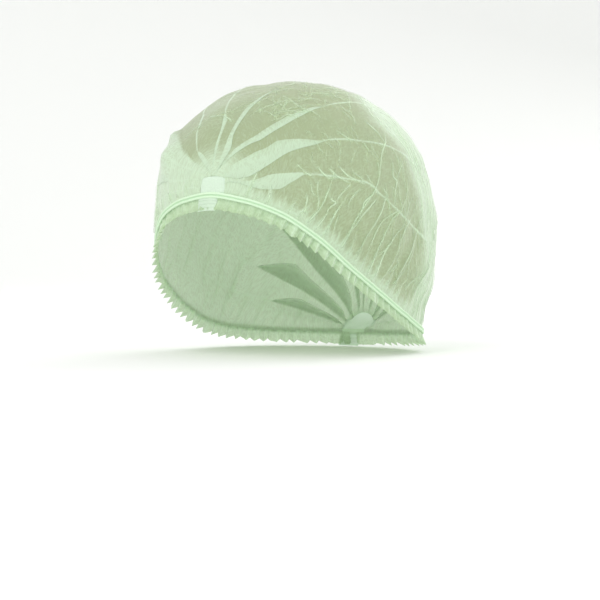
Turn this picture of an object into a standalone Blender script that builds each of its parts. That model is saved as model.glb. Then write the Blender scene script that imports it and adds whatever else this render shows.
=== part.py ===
"""Disposable bouffant hair cover, in the form that it takes on a head.

Metres, +Z up, the front of the cap at -Y and the wearer's left at +X. The origin is the top of the
hollow, where the head's crown rests. The cap is one strip of nonwoven cloth: its two short ends are
pleated together and welded at the front and at the back, and an elastic runs along each long edge.
So every point of the cloth has two shares: `along`, 0 at the front weld and 1 at the back weld, and
`across`, -1 at the right edge, 0 over the middle of the head and 1 at the left edge.
"""

import bpy
import numpy as np

MM = 0.001

# Worn form of the crown: half axes of a rounded block about its widest level.
HALF_BREADTH = 82 * MM
FRONT_REACH = 105 * MM
BACK_REACH = 98 * MM
TOP_RISE = 88 * MM
LOW_DROP = 103 * MM
PLAN_POWER = 2.15
TOP_POWER = 2.2
LOW_POWER = 3.2

# Middle line of the elastic band: its plan, and how far it lies below the top of the cap.
RIM_HALF_BREADTH = 79 * MM
RIM_FRONT_REACH = 103.5 * MM
RIM_BACK_REACH = 76 * MM
RIM_POWER = 2.25
BROW_DROP = 73 * MM
NAPE_DROP = 163 * MM
RIM_COLUMNS = ("share of the half turn from the front", "share of the drop from brow to nape")
RIM_TABLE = (
    (0.0, 0.0),
    (1 / 12, 0.035),
    (1 / 6, 0.12),
    (1 / 4, 0.285),
    (1 / 3, 0.505),
    (5 / 12, 0.685),
    (1 / 2, 0.83),
    (7 / 12, 0.915),
    (2 / 3, 0.96),
    (5 / 6, 0.993),
    (1.0, 1.0),
)

# Cloth, pleats and gathers.
CLOTH = 1.4 * MM
PLEAT_DEPTH = 3.6 * MM
GATHER_DEPTH = 2.6 * MM
GATHER_REACH = 14 * MM
GATHER_SHORT = 6 * MM

# Each row is one pleat. The first three columns say where its crest lies across the cloth, as a
# share of the width inside the gathers. The crest sinks to the foot, a share `foot` of the way to
# the next crest, and climbs slowly from there.
PLEAT_COLUMNS = ("at the front weld", "over the crown", "at the back weld", "foot", "height share")
PLEAT_TABLE = (
    (-0.90, -0.86, -0.88, 0.34, 0.70),
    (-0.72, -0.70, -0.70, 0.34, 0.80),
    (-0.50, -0.54, -0.52, 0.32, 1.00),
    (-0.32, -0.37, -0.34, 0.36, 0.65),
    (-0.15, -0.18, -0.16, 0.34, 0.85),
    (0.03, 0.03, 0.03, 0.40, 0.70),
    (0.18, 0.20, 0.20, 0.42, 0.60),
    (0.31, 0.37, 0.37, 0.40, 0.85),
    (0.45, 0.56, 0.53, 0.36, 1.00),
    (0.68, 0.72, 0.70, 0.34, 0.60),
    (0.86, 0.85, 0.86, 0.36, 0.90),
)

# The band's two elastic strands, the free edge below them, the welds and the pleat tails.
STRAND_RADIUS = 0.6 * MM
STRAND_DEPTH = 1.0 * MM
GAP = 0.3 * MM
BAND_HALF = 2 * STRAND_RADIUS + 1.5 * GAP
FRILL_HEIGHT = 7.4 * MM
FRILL_CLOTH = 1.5 * MM
FRILL_WAVE_TOP = 0.8 * MM
FRILL_WAVE_HEM = 1.9 * MM
FRILL_POINT = 1.5 * MM
FRILL_FLARE = 1.6 * MM
WELD_WIDTH = 17 * MM
WELD_HEIGHT = 12 * MM
WELD_THICK = 2.4 * MM
WELD_RIB = 0.35 * MM
WELD_GAP = 2 * GAP
TAIL_HEIGHT = 7.8 * MM
TAIL_THICK = 1.8 * MM
TAIL_RIB = 0.6 * MM

# How finely the cloth is divided.
STEPS_ALONG = 41
RIM_STEPS = 2 * STEPS_ALONG
STRAND_SIDES = 5

TOP_SKIN = CLOTH + PLEAT_DEPTH


def clear_scene():
    for obj in list(bpy.data.objects):
        bpy.data.objects.remove(obj, do_unlink=True)


def smooth_table(x, table):
    """A curve through the rows of a two-column table that never overshoots them."""
    xs, ys = np.array(table, float).T
    step = np.diff(xs)
    slope = np.diff(ys) / step
    tangent = np.zeros_like(ys)
    rising = slope[:-1] * slope[1:] > 0
    total = np.where(rising, slope[:-1] + slope[1:], 1)
    tangent[1:-1] = np.where(rising, 2 * slope[:-1] * slope[1:] / total, 0)
    i = np.clip(np.searchsorted(xs, x, side="right") - 1, 0, len(step) - 1)
    t = (x - xs[i]) / step[i]
    return (
        ys[i] * (1 + 2 * t) * (1 - t) ** 2
        + ys[i + 1] * t * t * (3 - 2 * t)
        + step[i] * (tangent[i] * t * (1 - t) ** 2 - tangent[i + 1] * t * t * (1 - t))
    )


def unit(vector):
    return vector / np.linalg.norm(vector, axis=-1, keepdims=True)


def dome(way):
    """The point of the rounded block that lies the given way from its middle."""
    x, y, z = np.moveaxis(way, -1, 0)
    power = np.where(z > 0, TOP_POWER, LOW_POWER)
    plan = np.abs(x) ** PLAN_POWER + np.abs(y) ** PLAN_POWER
    reach = (plan ** (power / PLAN_POWER) + np.abs(z) ** power) ** (-1 / power)
    return np.stack(
        [
            x * reach * HALF_BREADTH,
            y * reach * np.where(y < 0, FRONT_REACH, BACK_REACH),
            z * reach * np.where(z > 0, TOP_RISE, LOW_DROP) - TOP_RISE + TOP_SKIN,
        ],
        -1,
    )


def way_to(point):
    """The inverse of dome: the way from the middle of the block towards a point."""
    x, y, z = np.moveaxis(point, -1, 0)
    z = z + TOP_RISE - TOP_SKIN
    return unit(
        np.stack(
            [
                x / HALF_BREADTH,
                y / np.where(y < 0, FRONT_REACH, BACK_REACH),
                z / np.where(z > 0, TOP_RISE, LOW_DROP),
            ],
            -1,
        )
    )


def rim_point(turn):
    """Middle of the elastic band; turn is the angle from the front towards the wearer's left."""
    c, s = np.cos(turn), np.sin(turn)
    reach = (np.abs(c) ** RIM_POWER + np.abs(s) ** RIM_POWER) ** (-1 / RIM_POWER)
    drop = smooth_table(np.abs(turn) / np.pi, RIM_TABLE)
    return np.stack(
        [
            RIM_HALF_BREADTH * s * reach,
            -c * reach * np.where(c > 0, RIM_FRONT_REACH, RIM_BACK_REACH),
            TOP_SKIN - BROW_DROP - (NAPE_DROP - BROW_DROP) * drop,
        ],
        -1,
    )


def rim_frame(turn):
    """Point of the band, the way down square to it, and the way out of the cap."""
    point = rim_point(turn)
    run = unit(rim_point(turn + 1e-4) - rim_point(turn - 1e-4))
    lean = np.array([0.0, 0.0, -1.0])
    down = unit(lean - run * (run @ lean)[..., None])
    return point, down, np.cross(down, run)


def rim_length_table():
    turn = np.linspace(0, np.pi, 2001)
    leg = np.linalg.norm(np.diff(rim_point(turn), axis=0), axis=1)
    return turn, np.concatenate([[0], np.cumsum(leg)])


RIM_TURN, RIM_LENGTH = rim_length_table()


def turn_at(along):
    """Even steps of the band's length, from the side of the front weld to that of the back weld."""
    half = WELD_WIDTH / 2
    return np.interp(half + (RIM_LENGTH[-1] - 2 * half) * along, RIM_LENGTH, RIM_TURN)


def midline_table():
    """Angles over the head in its middle plane, from one weld's top edge to the other's."""
    angle = np.linspace(-np.pi / 2, 3 * np.pi / 2, 4001)
    point = dome(np.stack([0 * angle, -np.cos(angle), np.sin(angle)], -1))
    front = TOP_SKIN - BROW_DROP + WELD_HEIGHT
    back = TOP_SKIN - NAPE_DROP + WELD_HEIGHT
    first = np.interp(front, point[:2001, 2], angle[:2001])
    last = np.interp(-back, -point[2000:, 2], angle[2000:])
    angle = np.linspace(first, last, 2001)
    point = dome(np.stack([0 * angle, -np.cos(angle), np.sin(angle)], -1))
    leg = np.linalg.norm(np.diff(point, axis=0), axis=1)
    return angle, np.concatenate([[0], np.cumsum(leg)])


MID_ANGLE, MID_LENGTH = midline_table()


def cloth(along, across):
    """Smooth outer skin. Each line across it is an arc from edge to edge, over the middle of the head."""
    along, across = np.broadcast_arrays(np.asarray(along, float), np.asarray(across, float))
    point, down, _ = rim_frame(turn_at(along))
    edge = point - down * BAND_HALF
    side = way_to(edge)
    angle = np.interp(along * MID_LENGTH[-1], MID_LENGTH, MID_ANGLE)
    crest = np.stack([0 * angle, -np.cos(angle), np.sin(angle)], -1)
    foot = side * np.array([0, 1, 1])
    rise = np.linalg.norm(crest - foot, axis=-1)
    half = side[..., 0]
    radius = (half**2 + rise**2) / (2 * rise)
    up = (crest - foot) / rise[..., None]
    swing = np.arctan2(half, radius - rise) * across
    way = crest + up * (radius * (np.cos(swing) - 1))[..., None]
    way[..., 0] += radius * np.sin(swing)
    pull = np.clip((np.abs(across) - 0.4) / 0.6, 0, 1)[..., None] ** 2
    shift = (edge - dome(side)) * pull
    shift[..., 0] *= np.sign(across)
    return dome(way) + shift


def cloth_out(along, across):
    """Outward direction of the smooth skin, turning into the band's own at the edge."""
    step = 1e-3
    run = cloth(np.minimum(along + step, 1), across) - cloth(np.maximum(along - step, 0), across)
    over = cloth(along, np.minimum(across + step, 1)) - cloth(along, np.maximum(across - step, -1))
    return unit(np.cross(over, run))


def half_width():
    """Half the length of each line across the cloth, at even steps along it."""
    along, across = np.meshgrid(np.linspace(0, 1, 101), np.linspace(0, 1, 101), indexing="ij")
    point = cloth(along, across)
    return np.linalg.norm(np.diff(point, axis=1), axis=2).sum(axis=1)


HALF_WIDTH = half_width()


def from_edge(along, distance):
    """The share across at about this distance from the edge; where the cloth is narrow it is less."""
    half = np.interp(along, np.linspace(0, 1, 101), HALF_WIDTH)
    return 1 - distance / (half + distance)


def crown_lines(along):
    """Lines along the pleats: their places across, and the depth of each below the smooth skin."""
    front, over, back, foot, height = np.array(PLEAT_TABLE).T[:, :, None]
    zone = from_edge(along, GATHER_REACH)
    settle = smooth_table(along, ((0, 0), (0.22, 1), (0.8, 1), (1, 0)))
    crest = (np.where(along < 0.5, front, back) * (1 - settle) + over * settle) * zone
    following = np.concatenate([crest[1:], zone[None]])
    foot_at = crest + (following - crest) * foot
    climb_at = crest + (following - crest) * (foot + 1) / 2
    tight = smooth_table(along, ((0, 0.22), (0.16, 1), (0.78, 0.9), (1, 0.22)))
    crest_depth = (1 - height) * tight
    foot_depth = (0.35 + 0.65 * height) * tight
    climb_depth = 0.62 * foot_depth
    across = np.stack([crest, foot_at, climb_at], 1).reshape(-1, len(along))
    depth = np.stack([crest_depth, foot_depth, climb_depth], 1).reshape(-1, len(along))
    across = np.concatenate([-zone[None], across, zone[None]])
    depth = np.concatenate([0.5 * tight[None], depth, 0.5 * tight[None]])
    return across, depth * PLEAT_DEPTH


def skin_out(along, across, edge_share):
    """Outward direction of the cloth; its share near the edge is the band's own way out."""
    _, _, rim_out = rim_frame(turn_at(along))
    rim_out = rim_out * np.where(across[..., None] < 0, np.array([-1.0, 1.0, 1.0]), 1.0)
    share = np.asarray(edge_share)[..., None]
    return unit(cloth_out(along, across) * (1 - share) + rim_out * share)


def skins(along, across, depth, edge_share):
    """Outer and inner points of cloth that lies at a depth below the smooth skin."""
    out = skin_out(along, across, np.full_like(along, edge_share))
    skin = cloth(along, across)
    return skin - out * depth[..., None], skin - out * (depth + CLOTH)[..., None]


def crown_solid():
    along = np.linspace(0, 1, STEPS_ALONG + 1)
    across, depth = crown_lines(along)
    beat = (-1.0) ** np.arange(STEPS_ALONG + 1)
    beat[[0, -1]] = 0
    depth[[0, -1]] += 0.22 * GATHER_DEPTH * (1 + beat)
    depth[[1, -2]] += 0.10 * GATHER_DEPTH * (1 + beat)
    fine = np.linspace(0, 1, RIM_STEPS + 1)
    fine_beat = (-1.0) ** np.arange(RIM_STEPS + 1)
    fine_beat[[0, -1]] = 0
    lines = []
    for k in range(len(across)):
        lines.append((along, across[k], depth[k], 0.0))
    short = (0.55 + 0.40 * fine_beat) * GATHER_DEPTH
    edge = (0.50 + 0.50 * fine_beat) * GATHER_DEPTH
    near, rim = from_edge(fine, GATHER_SHORT), np.ones_like(fine)
    lines = [(fine, -rim, edge, 1.0), (fine, -near, short, 0.5)] + lines
    lines += [(fine, near, short, 0.5), (fine, rim, edge, 1.0)]
    outer, inner, start = [], [], [0]
    for line_along, line_across, line_depth, share in lines:
        a, b = skins(line_along, line_across, line_depth, share)
        outer.append(a)
        inner.append(b)
        start.append(start[-1] + len(line_along))
    faces = []
    for k in range(len(lines) - 1):
        faces += strip_faces(start[k], start[k + 1], start[k + 1] - start[k], start[k + 2] - start[k + 1])
    return slab(np.concatenate(outer), np.concatenate(inner), faces)


def strip_faces(first, second, first_count, second_count):
    """Triangles between two rows of points; one row may have two steps for each of the other's."""
    faces = []
    if first_count == second_count:
        for j in range(first_count - 1):
            a, b, c, d = first + j, first + j + 1, second + j + 1, second + j
            faces += [(a, b, c), (a, c, d)]
    elif first_count < second_count:
        for j in range(first_count - 1):
            a, b, c = first + j, first + j + 1, second + 2 * j
            faces += [(a, c + 1, c), (a, b, c + 1), (b, c + 2, c + 1)]
    else:
        faces = [face[::-1] for face in strip_faces(second, first, second_count, first_count)]
    return faces


def slab(outer, inner, faces):
    """Closes two skins that share one list of faces, with a strip round every free edge."""
    count = len(outer)
    shell = list(faces) + [tuple(i + count for i in reversed(face)) for face in faces]
    edges = {}
    for face in faces:
        for a, b in zip(face, face[1:] + face[:1]):
            edges[(a, b)] = True
    for a, b in edges:
        if (b, a) not in edges:
            shell += [(b, a, a + count), (b, a + count, b + count)]
    return np.concatenate([outer, inner]), shell


def grid_faces(rows, columns):
    faces = []
    for i in range(rows - 1):
        faces += strip_faces(i * columns, (i + 1) * columns, columns, columns)
    return faces


def strand_solid(offset):
    """One elastic strand, a closed tube that follows the band at an offset below its middle."""
    side = turn_at(np.linspace(0, 1, STEPS_ALONG + 1))
    turn = np.concatenate([[0], side, [np.pi], -side[::-1]])
    point, down, out = rim_frame(turn)
    middle = point + down * offset - out * STRAND_DEPTH
    angle = 2 * np.pi * np.arange(STRAND_SIDES) / STRAND_SIDES
    ring = down[:, None] * np.cos(angle)[:, None] + out[:, None] * np.sin(angle)[:, None]
    points = (middle[:, None] + ring * STRAND_RADIUS).reshape(-1, 3)
    faces = []
    for i in range(len(turn)):
        for j in range(STRAND_SIDES):
            a = i * STRAND_SIDES + j
            b = i * STRAND_SIDES + (j + 1) % STRAND_SIDES
            c = (a + STRAND_SIDES) % len(points)
            d = (b + STRAND_SIDES) % len(points)
            faces += [(a, c, d), (a, d, b)]
    return points, faces


def frill_solid(side):
    """The free edge below the band on one side, folded into points."""
    along = np.linspace(0, 1, RIM_STEPS + 1)
    turn = turn_at(along)
    point, down, out = rim_frame(turn)
    beat = -((-1.0) ** np.arange(RIM_STEPS + 1))
    outer, inner = [], []
    for share in (0.0, 0.5, 1.0):
        wave = FRILL_WAVE_TOP + (FRILL_WAVE_HEM - FRILL_WAVE_TOP) * share
        reach = BAND_HALF + FRILL_HEIGHT * share - FRILL_POINT * (1 - beat) / 2 * share
        depth = GATHER_DEPTH / 2 + beat * -wave - FRILL_FLARE * share**1.5
        skin = point + down * reach[:, None]
        outer.append(skin - out * depth[:, None])
        inner.append(skin - out * (depth + FRILL_CLOTH)[:, None])
    mirror = np.array([side, 1.0, 1.0])
    faces = grid_faces(3, RIM_STEPS + 1)
    if side < 0:
        faces = [face[::-1] for face in faces]
    return slab(np.concatenate(outer) * mirror, np.concatenate(inner) * mirror, faces)


def turns_near(at_back, steps):
    """Band angles at signed lengths from the middle of the front, or of the back."""
    length = RIM_LENGTH[-1] - np.abs(steps) if at_back else np.abs(steps)
    return np.where(steps < 0, -1, 1) * np.interp(length, RIM_LENGTH, RIM_TURN)


def weld_solid(at_back):
    """The pressed patch that fills the arch where one end of the cloth is bunched."""
    across = np.linspace(-1, 1, 19)
    along = np.full_like(across, float(at_back))
    zone = from_edge(along, GATHER_REACH)
    arch = cloth(along, across)
    arch_out = skin_out(along, across, np.clip((np.abs(across) - zone) / (1 - zone), 0, 1))
    point, down, rim_out = rim_frame(turns_near(at_back, np.linspace(WELD_WIDTH, -WELD_WIDTH, 11) / 2))
    foot = point - down * BAND_HALF
    loop = np.concatenate([arch, foot[1:-1]])
    loop_out = np.concatenate([arch_out, rim_out[1:-1]])
    middle = 0.5 * (arch[9] + foot[5])
    middle_out = unit(loop_out.mean(axis=0))
    reach = np.linalg.norm(loop - middle, axis=1, keepdims=True)
    loop = middle + (loop - middle) * (1 - WELD_GAP / reach)
    beat = (-1.0) ** np.arange(len(loop))
    outer, inner = [], []
    for share, rise in ((0.4, 0.0), (0.75, 0.8), (1.0, -0.4)):
        ring = middle + (loop - middle) * share
        out = unit(middle_out + (loop_out - middle_out) * share)
        ribbed = WELD_RIB * (rise + beat * (share < 1))
        outer.append(ring + out * ribbed[:, None])
        inner.append(ring - out * WELD_THICK)
    outer.append(middle[None])
    inner.append((middle - middle_out * WELD_THICK)[None])
    count, faces = len(loop), []
    for i in range(2):
        for j in range(count):
            a, b = i * count + j, i * count + (j + 1) % count
            faces += [(a, b, b + count), (a, b + count, a + count)]
    faces += [(3 * count, (j + 1) % count, j) for j in range(count)]
    return slab(np.concatenate(outer), np.concatenate(inner), faces)


def tail_solid(at_back):
    """The bunched pleats' tail below the band, between the two frills."""
    half = WELD_WIDTH / 2 - 2 * GAP - FRILL_WAVE_HEM
    steps = np.linspace(-half, half, 13)
    point, down, out = rim_frame(turns_near(at_back, steps))
    beat = (-1.0) ** np.arange(len(steps))
    outer, inner = [], []
    for share in (0.0, 0.6, 1.0):
        skin = point + down * (BAND_HALF + TAIL_HEIGHT * share)
        depth = GATHER_DEPTH / 2 - beat * TAIL_RIB - 0.6 * FRILL_FLARE * share
        outer.append(skin - out * depth[:, None])
        inner.append(skin - out * (depth + TAIL_THICK)[:, None])
    return slab(np.concatenate(outer), np.concatenate(inner), grid_faces(3, len(steps)))


def material(name, colour, roughness, opacity=1.0):
    made = bpy.data.materials.new(name)
    made.use_nodes = True
    surface = made.node_tree.nodes["Principled BSDF"]
    surface.inputs["Base Color"].default_value = (*colour, 1)
    surface.inputs["Roughness"].default_value = roughness
    surface.inputs["Alpha"].default_value = opacity
    return made


def add(name, solid, finish, smooth):
    """Makes the object, turned so that its faces look outwards."""
    points, faces = solid
    corner = points[np.array(faces)]
    volume = np.einsum("ij,ij->i", corner[:, 0], np.cross(corner[:, 1], corner[:, 2])).sum()
    if volume < 0:
        faces = [face[::-1] for face in faces]
    mesh = bpy.data.meshes.new(name)
    mesh.from_pydata(points.tolist(), [], faces)
    mesh.materials.append(finish)
    mesh.polygons.foreach_set("use_smooth", [smooth] * len(mesh.polygons))
    mesh.update()
    obj = bpy.data.objects.new(name, mesh)
    bpy.context.scene.collection.objects.link(obj)
    return obj


clear_scene()
cloth_finish = material("nonwoven_crown", (0.62, 0.76, 0.58), 0.75)
frill_finish = material("nonwoven_frill", (0.58, 0.74, 0.53), 0.75)
elastic_finish = material("elastic_strand", (0.66, 0.85, 0.62), 0.6)
weld_finish = material("welded_nonwoven", (0.76, 0.90, 0.76), 0.55)
tail_finish = material("nonwoven_tail", (0.66, 0.84, 0.66), 0.7)

strand_offset = STRAND_RADIUS + GAP / 2
add("crown", crown_solid(), cloth_finish, True)
add("elastic_upper", strand_solid(-strand_offset), elastic_finish, True)
add("elastic_lower", strand_solid(strand_offset), elastic_finish, True)
add("hem_frill_left", frill_solid(1.0), frill_finish, False)
add("hem_frill_right", frill_solid(-1.0), frill_finish, False)
add("front_weld", weld_solid(False), weld_finish, False)
add("back_weld", weld_solid(True), weld_finish, False)
add("front_tail", tail_solid(False), tail_finish, False)
add("back_tail", tail_solid(True), tail_finish, False)
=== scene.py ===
# %% [markdown]
# # A disposable bouffant hair cover, as worn
# The cap is one strip of thin spunbond polypropylene. Both short ends are pleated together like a
# fan and welded, one at the forehead and one at the nape, and a narrow elastic gathers each long
# edge. This lesson dresses the solid model: every piece here lies where a solid of the frame lies.

# %% Load the frame
import bpy
import numpy as np
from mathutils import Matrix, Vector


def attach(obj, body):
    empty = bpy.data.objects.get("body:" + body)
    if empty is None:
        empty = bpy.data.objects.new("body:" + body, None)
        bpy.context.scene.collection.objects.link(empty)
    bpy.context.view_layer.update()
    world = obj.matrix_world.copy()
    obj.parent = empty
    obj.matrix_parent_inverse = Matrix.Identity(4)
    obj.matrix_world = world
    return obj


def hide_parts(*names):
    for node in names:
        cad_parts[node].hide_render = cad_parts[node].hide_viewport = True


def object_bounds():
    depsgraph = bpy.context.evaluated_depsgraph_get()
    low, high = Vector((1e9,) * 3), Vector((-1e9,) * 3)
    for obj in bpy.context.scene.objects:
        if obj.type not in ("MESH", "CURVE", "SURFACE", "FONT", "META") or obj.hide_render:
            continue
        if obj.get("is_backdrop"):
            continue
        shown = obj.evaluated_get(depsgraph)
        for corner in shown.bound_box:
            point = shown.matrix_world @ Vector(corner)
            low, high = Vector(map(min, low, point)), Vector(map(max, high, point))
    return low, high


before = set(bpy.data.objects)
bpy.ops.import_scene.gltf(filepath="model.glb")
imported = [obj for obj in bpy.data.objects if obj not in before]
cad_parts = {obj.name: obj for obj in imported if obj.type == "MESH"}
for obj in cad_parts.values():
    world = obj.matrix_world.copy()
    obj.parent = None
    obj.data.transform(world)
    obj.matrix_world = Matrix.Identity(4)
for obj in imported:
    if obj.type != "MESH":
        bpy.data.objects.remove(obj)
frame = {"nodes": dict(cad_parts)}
CAD_BOX = np.array(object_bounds(), float).tolist()
MM = 0.001
print("solids:", ", ".join(frame["nodes"]))
print("box of the solids:", np.round(CAD_BOX, 4).tolist())

# %% [markdown]
# ## The worn form
# On a head the cap takes the form of a rounded block, a little longer than it is broad. The same
# sizes made the solids, so they are named again here. A curve through a small table of points says
# how the band falls from the brow to the nape.

# %% Sizes of the form and of the band
HALF_BREADTH, FRONT_REACH, BACK_REACH = 82 * MM, 105 * MM, 98 * MM
TOP_RISE, LOW_DROP = 88 * MM, 103 * MM
PLAN_POWER, TOP_POWER, LOW_POWER = 2.15, 2.2, 3.2
RIM_HALF_BREADTH, RIM_FRONT_REACH, RIM_BACK_REACH, RIM_POWER = 79 * MM, 103.5 * MM, 76 * MM, 2.25
BROW_DROP, NAPE_DROP = 73 * MM, 163 * MM
RIM_DROP = ((0, 0), (1 / 12, 0.035), (1 / 6, 0.12), (1 / 4, 0.285), (1 / 3, 0.505), (5 / 12, 0.685),
            (1 / 2, 0.83), (7 / 12, 0.915), (2 / 3, 0.96), (5 / 6, 0.993), (1, 1))
TOP_SKIN = 5 * MM
BAND_HALF = 1.65 * MM
WELD_WIDTH, WELD_HEIGHT = 17 * MM, 12 * MM


def through(table, x):
    """A smooth curve through the points of a table that never overshoots them."""
    xs, ys = np.array(table, float).T
    step = np.diff(xs)
    slope = np.diff(ys) / step
    tangent = np.zeros_like(ys)
    rising = slope[:-1] * slope[1:] > 0
    total = np.where(rising, slope[:-1] + slope[1:], 1)
    tangent[1:-1] = np.where(rising, 2 * slope[:-1] * slope[1:] / total, 0)
    x = np.clip(x, xs[0], xs[-1])
    i = np.clip(np.searchsorted(xs, x, side="right") - 1, 0, len(step) - 1)
    t = (x - xs[i]) / step[i]
    return (ys[i] * (1 + 2 * t) * (1 - t) ** 2 + ys[i + 1] * t * t * (3 - 2 * t)
            + step[i] * (tangent[i] * t * (1 - t) ** 2 - tangent[i + 1] * t * t * (1 - t)))


def unit(vector):
    return vector / np.linalg.norm(vector, axis=-1, keepdims=True)


def ease(x, low, high):
    """0 below low, 1 above high, and a smooth step between them."""
    t = np.clip((x - low) / (high - low), 0, 1)
    return t * t * (3 - 2 * t)


# %% [markdown]
# A block with two rounding powers is a good first form for a head: one power rounds its plan, and
# another its side, and the lower half may be squarer than the top. The band is a curve on it.

# %% The rounded block and the band
def dome(way):
    """Point of the block that lies the given way from its middle: the way times the reach at which
    |x|^p + |y|^p, raised to q/p, plus |z|^q is one, and that times the half axes."""
    x, y, z = np.moveaxis(way, -1, 0)
    q = np.where(z > 0, TOP_POWER, LOW_POWER)
    plan = np.abs(x) ** PLAN_POWER + np.abs(y) ** PLAN_POWER
    reach = (plan ** (q / PLAN_POWER) + np.abs(z) ** q) ** (-1 / q)
    return np.stack([x * reach * HALF_BREADTH, y * reach * np.where(y < 0, FRONT_REACH, BACK_REACH),
                     z * reach * np.where(z > 0, TOP_RISE, LOW_DROP) - TOP_RISE + TOP_SKIN], -1)


def way_to(point):
    """The other way round: the way from the middle of the block towards a point."""
    x, y, z = np.moveaxis(point, -1, 0)
    z = z + TOP_RISE - TOP_SKIN
    return unit(np.stack([x / HALF_BREADTH, y / np.where(y < 0, FRONT_REACH, BACK_REACH),
                          z / np.where(z > 0, TOP_RISE, LOW_DROP)], -1))


def band(turn):
    """Middle of the band at an angle from the front: a rounded oval that falls towards the nape."""
    c, s = np.cos(turn), np.sin(turn)
    reach = (np.abs(c) ** RIM_POWER + np.abs(s) ** RIM_POWER) ** (-1 / RIM_POWER)
    drop = through(RIM_DROP, np.abs(turn) / np.pi)
    return np.stack([RIM_HALF_BREADTH * s * reach,
                     -c * reach * np.where(c > 0, RIM_FRONT_REACH, RIM_BACK_REACH),
                     TOP_SKIN - BROW_DROP - (NAPE_DROP - BROW_DROP) * drop], -1)


def band_frame(turn):
    """Middle of the band, the way down square to it, and the way out of the cap."""
    run = unit(band(turn + 1e-4) - band(turn - 1e-4))
    lean = np.array([0.0, 0.0, -1.0])
    down = unit(lean - run * (run @ lean)[..., None])
    return band(turn), down, np.cross(down, run)


TURNS = np.linspace(0, np.pi, 2001)
BAND_LENGTHS = np.concatenate([[0], np.cumsum(np.linalg.norm(np.diff(band(TURNS), axis=0), axis=1))])
print("band, all the way round: %.0f mm" % (2000 * BAND_LENGTHS[-1]))


def turn_at(along):
    """Angle of the band at even steps of its length, from the front weld's side to the back's."""
    half = WELD_WIDTH / 2
    return np.interp(half + (BAND_LENGTHS[-1] - 2 * half) * along, BAND_LENGTHS, TURNS)


# %% [markdown]
# ## One strip of cloth over the block
# A point of the strip has two shares: `along`, 0 at the front weld and 1 at the back weld, and
# `across`, -1 at the wearer's right edge, 0 over the head and 1 at the left edge. Every line across
# is an arc over the block, from the band on one side to the band on the other.

# %% The smooth cloth
def midline():
    angle = np.linspace(-np.pi / 2, 3 * np.pi / 2, 4001)
    point = dome(np.stack([0 * angle, -np.cos(angle), np.sin(angle)], -1))
    first = np.interp(TOP_SKIN - BROW_DROP + WELD_HEIGHT, point[:2001, 2], angle[:2001])
    last = np.interp(NAPE_DROP - TOP_SKIN - WELD_HEIGHT, -point[2000:, 2], angle[2000:])
    angle = np.linspace(first, last, 2001)
    point = dome(np.stack([0 * angle, -np.cos(angle), np.sin(angle)], -1))
    return angle, np.concatenate([[0], np.cumsum(np.linalg.norm(np.diff(point, axis=0), axis=1))])


MID_ANGLE, MID_LENGTH = midline()


def cloth(along, across):
    """An arc of a small circle through a band point, the middle line and the other band point,
    laid on the block, and drawn out to the band by the square of how near the edge it is."""
    along, across = np.broadcast_arrays(np.asarray(along, float), np.asarray(across, float))
    point, down, _ = band_frame(turn_at(along))
    edge = point - down * BAND_HALF
    side = way_to(edge)
    angle = np.interp(along * MID_LENGTH[-1], MID_LENGTH, MID_ANGLE)
    crest = np.stack([0 * angle, -np.cos(angle), np.sin(angle)], -1)
    foot = side * np.array([0, 1, 1])
    rise = np.linalg.norm(crest - foot, axis=-1)
    radius = (side[..., 0] ** 2 + rise**2) / (2 * rise)
    up = (crest - foot) / rise[..., None]
    swing = np.arctan2(side[..., 0], radius - rise) * across
    way = crest + up * (radius * (np.cos(swing) - 1))[..., None]
    way[..., 0] += radius * np.sin(swing)
    pull = np.clip((np.abs(across) - 0.4) / 0.6, 0, 1)[..., None] ** 2
    shift = (edge - dome(side)) * pull
    shift[..., 0] *= np.sign(across)
    return dome(way) + shift


def cloth_out(along, across):
    """Way out of the cloth, which turns into the band's own way out near the edge."""
    step = 1e-3
    run = cloth(np.minimum(along + step, 1), across) - cloth(np.maximum(along - step, 0), across)
    over = cloth(along, np.minimum(across + step, 1)) - cloth(along, np.maximum(across - step, -1))
    _, _, rim_out = band_frame(turn_at(along))
    rim_out = rim_out * np.where(across[..., None] < 0, np.array([-1.0, 1.0, 1.0]), 1.0)
    share = ease(np.abs(across), 0.93, 1.0)[..., None]
    return unit(unit(np.cross(over, run)) * (1 - share) + rim_out * share)


def half_widths():
    """Half the length of the lines across, in metres, at 101 even steps along."""
    a, c = np.meshgrid(np.linspace(0, 1, 101), np.linspace(0, 1, 101), indexing="ij")
    return np.linalg.norm(np.diff(cloth(a, c), axis=1), axis=2).sum(axis=1)


HALF_WIDTHS = half_widths()


def half_width(along):
    return np.interp(along, np.linspace(0, 1, 101), HALF_WIDTHS)


print("middle line %.0f mm, widest half line %.0f mm" % (1000 * MID_LENGTH[-1], 1000 * HALF_WIDTHS.max()))

# %% [markdown]
# ## Knife pleats
# At each weld the cloth is laid in flat pleats that face outwards and down. From a weld they open
# like a fan and run out into a crease. Each pleat is a table of its folded edge, and a table of how
# much cloth is tucked under it. The tucked cloth runs back under the fold and forward again, so the
# fan is three layers thick there, and looks paler than the single layer beside it.

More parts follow.
